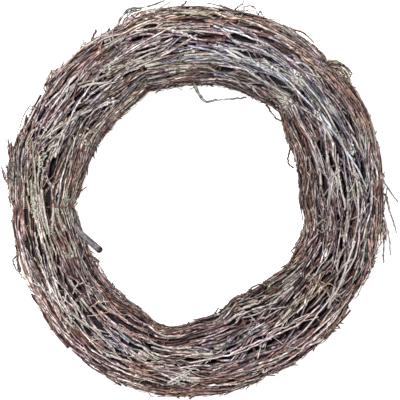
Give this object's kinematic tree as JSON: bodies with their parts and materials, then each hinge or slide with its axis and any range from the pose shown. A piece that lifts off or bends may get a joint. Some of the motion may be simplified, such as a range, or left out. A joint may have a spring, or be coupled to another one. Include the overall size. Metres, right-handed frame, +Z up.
{
  "type": "twig wreath",
  "caption": "Round wreath of dry twigs laid along a ring in bunches and bound with wire, lying flat, with loose sprigs and an open middle.",
  "frame": {"origin": "middle of the object on the surface that it lies on", "axes": "+Z up out of the face of the wreath, +Y towards the top of the picture, +X to its right"},
  "size_m": [0.3962, 0.3972, 0.0639],
  "materials": {
    "twigs": "dry weathered bark, grey, reddish brown and tan from twig to twig, with pale lichen",
    "tie_wire": "thin rusty binding wire, dull",
    "stem_bark": "dull grey bark with a darker cut end"
  },
  "bodies": {
    "root": {"twig_bunch_01": "twigs", "twig_bunch_02": "twigs", "twig_bunch_03": "twigs", "twig_bunch_04": "twigs", "twig_bunch_05": "twigs", "twig_bunch_06": "twigs", "twig_bunch_07": "twigs", "twig_bunch_08": "twigs", "twig_bunch_09": "twigs", "twig_bunch_10": "twigs", "twig_bunch_11": "twigs", "tie_wire_01": "tie_wire", "tie_wire_02": "tie_wire", "tie_wire_03": "tie_wire", "tie_wire_04": "tie_wire", "tie_wire_05": "tie_wire", "tie_wire_06": "tie_wire", "tie_wire_07": "tie_wire", "tie_wire_08": "tie_wire", "tie_wire_09": "tie_wire", "tie_wire_10": "tie_wire", "tie_wire_11": "tie_wire", "thick_stem": "stem_bark"}
  },
  "joints": []
}
